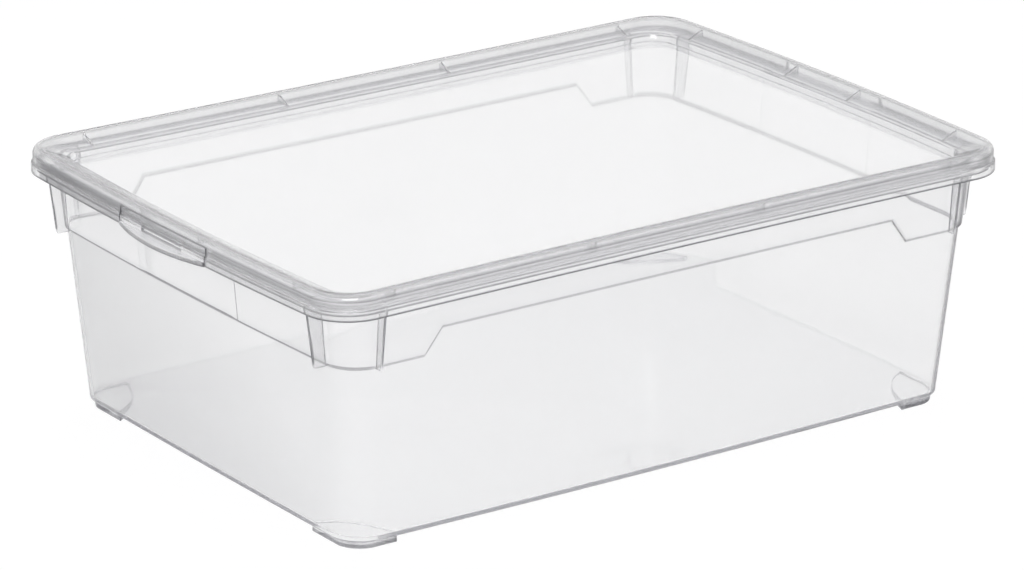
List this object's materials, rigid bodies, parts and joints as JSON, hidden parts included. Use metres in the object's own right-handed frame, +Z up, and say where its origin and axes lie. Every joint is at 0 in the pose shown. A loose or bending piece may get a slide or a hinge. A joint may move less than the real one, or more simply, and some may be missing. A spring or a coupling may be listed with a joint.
{
  "type": "storage box with lid",
  "caption": "Clear rectangular plastic storage box with tapered walls, corner feet and a lid that clips shut, with a flexing pull tab on each short side.",
  "frame": {"origin": "on the surface that the feet stand on, under the middle of the box", "axes": "+X along the length of the box, +Y along its width, +Z up"},
  "size_m": [0.3976, 0.275, 0.1285],
  "materials": {
    "clear_polypropylene": "smooth injection-moulded clear polypropylene, slightly milky"
  },
  "bodies": {
    "tub": {"tub": "clear_polypropylene"},
    "lid": {"lid": "clear_polypropylene"},
    "grip_tab_left": {"grip_tab_left": "clear_polypropylene"},
    "grip_tab_right": {"grip_tab_right": "clear_polypropylene"}
  },
  "joints": [
    {"name": "lid_lift", "type": "slide", "parent": "tub", "child": "lid", "axis": [0, 0, 1], "range_m": [0, 0.2]},
    {"name": "grip_tab_left_flex", "type": "hinge", "parent": "lid", "child": "grip_tab_left", "pos_m": [-0.1912, 0, 0.12495], "axis": [0, 1, 0], "range_deg": [0, 12], "stiffness_Nm_per_rad": 0.2},
    {"name": "grip_tab_right_flex", "type": "hinge", "parent": "lid", "child": "grip_tab_right", "pos_m": [0.1912, 0, 0.12495], "axis": [0, -1, 0], "range_deg": [0, 12], "stiffness_Nm_per_rad": 0.2}
  ]
}
